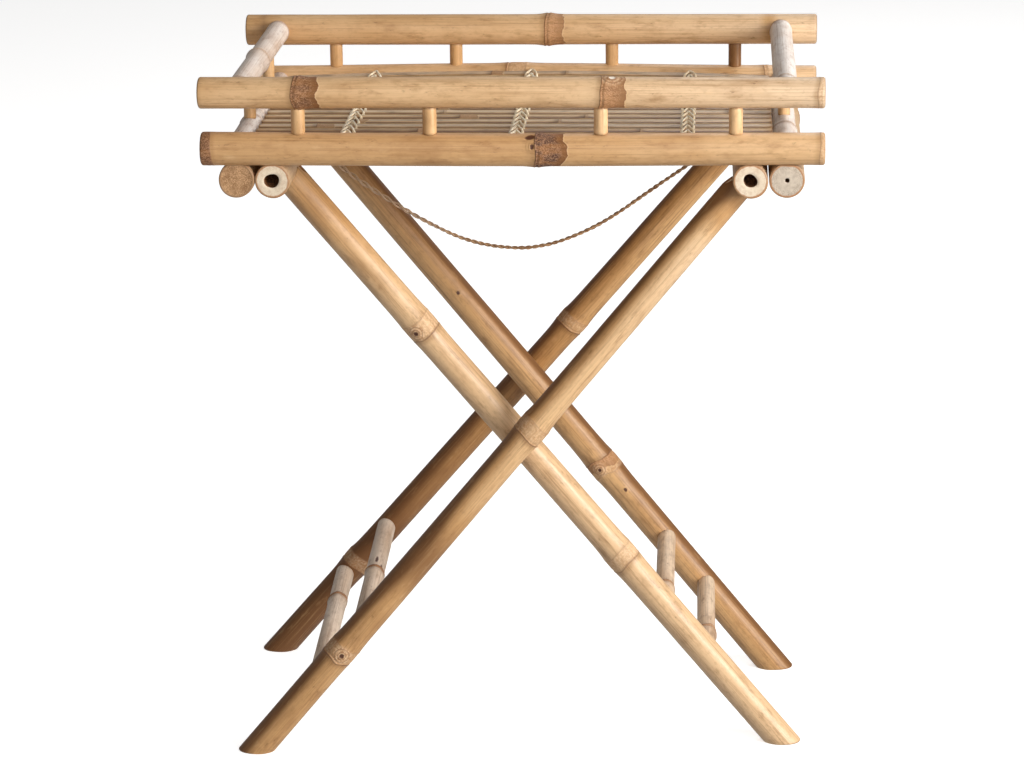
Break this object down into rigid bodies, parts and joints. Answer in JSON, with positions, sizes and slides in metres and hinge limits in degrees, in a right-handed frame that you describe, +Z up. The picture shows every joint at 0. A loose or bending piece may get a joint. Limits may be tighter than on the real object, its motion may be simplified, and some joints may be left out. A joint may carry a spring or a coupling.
{
  "type": "folding tray table",
  "caption": "Folding bamboo tray table: a railed, slatted tray lifts off an X-shaped stand with a rope between its top bars.",
  "frame": {"origin": "middle of the table's footprint, on the floor", "axes": "+X along the tray to the right, +Y from the front of the table to its back, +Z up"},
  "size_m": [0.65, 0.402, 0.756],
  "materials": {
    "bamboo_pole": "honey bamboo culm, waxy satin sheen, fine streaks along the pole",
    "bamboo_bar": "pale bamboo culm with cream cut ends, satin",
    "bamboo_dark": "browner bamboo culm with darker rings, satin",
    "bamboo_peg": "thin whole bamboo, satin",
    "bamboo_slat": "split bamboo strips, satin, with pale edges",
    "raffia_cord": "matt cream cord",
    "jute_rope": "rough twisted brown rope with pale fibres"
  },
  "bodies": {
    "outer_frame": {"leg_outer_front": "bamboo_pole", "leg_outer_back": "bamboo_dark", "top_bar_right": "bamboo_bar", "stretcher_outer_upper": "bamboo_dark", "stretcher_outer_lower": "bamboo_dark", "pivot_pin_front": "bamboo_peg", "pivot_pin_back": "bamboo_peg", "pivot_spacer_front": "bamboo_peg", "pivot_spacer_back": "bamboo_peg", "rope": "jute_rope"},
    "inner_frame": {"leg_inner_front": "bamboo_pole", "leg_inner_back": "bamboo_dark", "top_bar_left": "bamboo_bar", "stretcher_inner_upper": "bamboo_dark", "stretcher_inner_lower": "bamboo_dark"},
    "tray": {"rail_front_upper": "bamboo_pole", "rail_front_lower": "bamboo_pole", "rail_back_upper": "bamboo_pole", "rail_back_lower": "bamboo_pole", "side_rail_left_upper": "bamboo_pole", "side_rail_left_lower": "bamboo_pole", "side_rail_right_upper": "bamboo_pole", "side_rail_right_lower": "bamboo_pole", "post_front_1": "bamboo_peg", "post_front_2": "bamboo_peg", "post_front_3": "bamboo_peg", "post_front_4": "bamboo_peg", "post_back_1": "bamboo_peg", "post_back_2": "bamboo_peg", "post_back_3": "bamboo_peg", "post_back_4": "bamboo_peg", "post_left_front": "bamboo_peg", "post_left_back": "bamboo_peg", "post_right_front": "bamboo_peg", "post_right_back": "bamboo_peg", "tray_beam_left": "bamboo_bar", "tray_beam_right": "bamboo_bar", "slat_01": "bamboo_slat", "slat_02": "bamboo_slat", "slat_03": "bamboo_slat", "slat_04": "bamboo_slat", "slat_05": "bamboo_slat", "slat_06": "bamboo_slat", "slat_07": "bamboo_slat", "slat_08": "bamboo_slat", "slat_09": "bamboo_slat", "slat_10": "bamboo_slat", "slat_11": "bamboo_slat", "slat_12": "bamboo_slat", "slat_13": "bamboo_slat", "slat_14": "bamboo_slat", "slat_bearer_left": "bamboo_peg", "slat_bearer_middle": "bamboo_peg", "slat_bearer_right": "bamboo_peg", "lashing_left": "raffia_cord", "lashing_middle": "raffia_cord", "lashing_right": "raffia_cord"}
  },
  "joints": [
    {"name": "stand_fold", "type": "hinge", "parent": "outer_frame", "child": "inner_frame", "pos_m": [-0.0009, 0, 0.3493], "axis": [0, 1, 0], "range_deg": [0, 70], "deforming": ["rope"]},
    {"name": "tray_lift", "type": "slide", "parent": "outer_frame", "child": "tray", "axis": [0, 0, 1], "range_m": [0, 0.4]}
  ],
  "couplings": [
    {"joint": "tray_lift", "follows": "stand_fold", "m_per_rad": 0.31}
  ]
}
